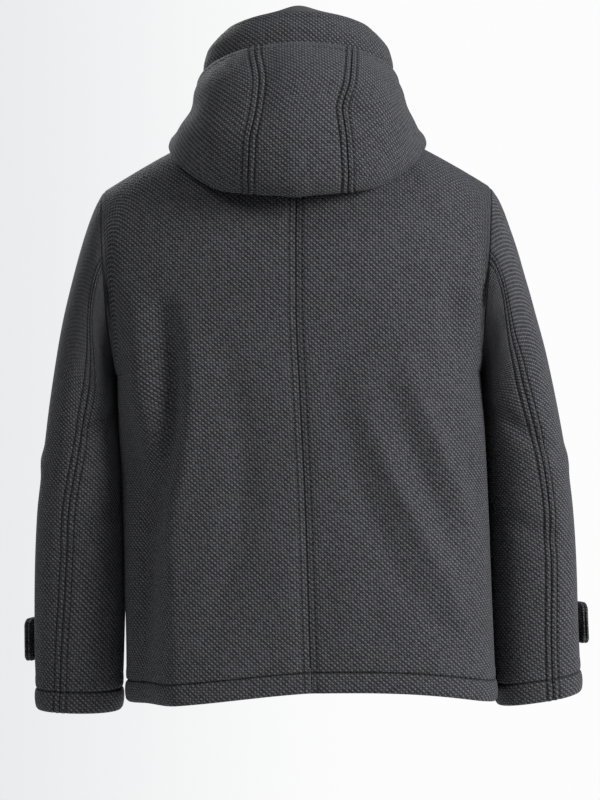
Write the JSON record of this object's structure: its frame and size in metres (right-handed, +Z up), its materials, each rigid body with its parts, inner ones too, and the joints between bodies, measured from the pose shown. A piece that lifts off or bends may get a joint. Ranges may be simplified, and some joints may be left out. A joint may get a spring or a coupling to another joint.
{
  "type": "hooded coat in worn form",
  "caption": "Hip-length hooded wool coat in worn, hollow form: stand collar, hood lying back, buttoned front, arms hanging, tabbed cuffs.",
  "frame": {"origin": "between the shoulders at the base of the neck, where the wearer holds the coat up", "axes": "+Z up, the wearer faces -Y, the back of the coat is on the +Y side, the wearer's left is +X"},
  "size_m": [0.7069, 0.3532, 0.8623],
  "materials": {
    "wool": "matte thick basket weave",
    "facing": "smooth matte cloth",
    "button": "satin"
  },
  "bodies": {
    "root": {"back_left": "wool", "back_right": "wool", "front_left": "wool", "front_right": "wool", "sleeve_top_left": "wool", "sleeve_top_right": "wool", "sleeve_under_left": "wool", "sleeve_under_right": "wool", "cuff_tab_left": "wool", "cuff_tab_right": "wool", "cuff_tab_under_left": "wool", "cuff_tab_under_right": "wool", "tab_button_left": "button", "tab_button_right": "button", "collar": "wool", "collar_facing": "facing", "hood_centre": "wool", "hood_side_left": "wool", "hood_side_right": "wool", "front_button_1": "button", "front_button_2": "button", "front_button_3": "button", "front_button_4": "button", "front_button_5": "button"}
  },
  "joints": []
}
